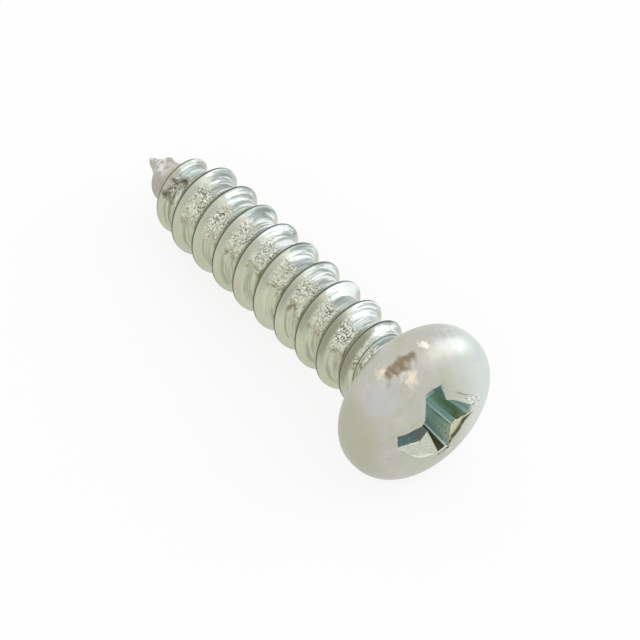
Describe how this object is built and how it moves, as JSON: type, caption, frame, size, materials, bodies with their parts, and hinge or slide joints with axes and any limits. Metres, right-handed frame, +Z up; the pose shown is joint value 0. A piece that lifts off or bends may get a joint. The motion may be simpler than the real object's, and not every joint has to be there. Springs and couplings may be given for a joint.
{
  "type": "sheet metal screw",
  "caption": "Pan head sheet metal screw with a cross recess, a coarse spaced thread and a cone point, lying on its side.",
  "frame": {"origin": "on the surface it lies on, under the middle of its bounding box", "axes": "+X runs the long way from the point to the head, tilted 6.54 degrees up toward the head; +Z is up"},
  "size_m": [0.0181, 0.0064, 0.0064],
  "materials": {
    "zinc_plated_steel": "bright zinc plating, satin on the head, rough in the thread roots"
  },
  "bodies": {
    "root": {"screw": "zinc_plated_steel"}
  },
  "joints": []
}
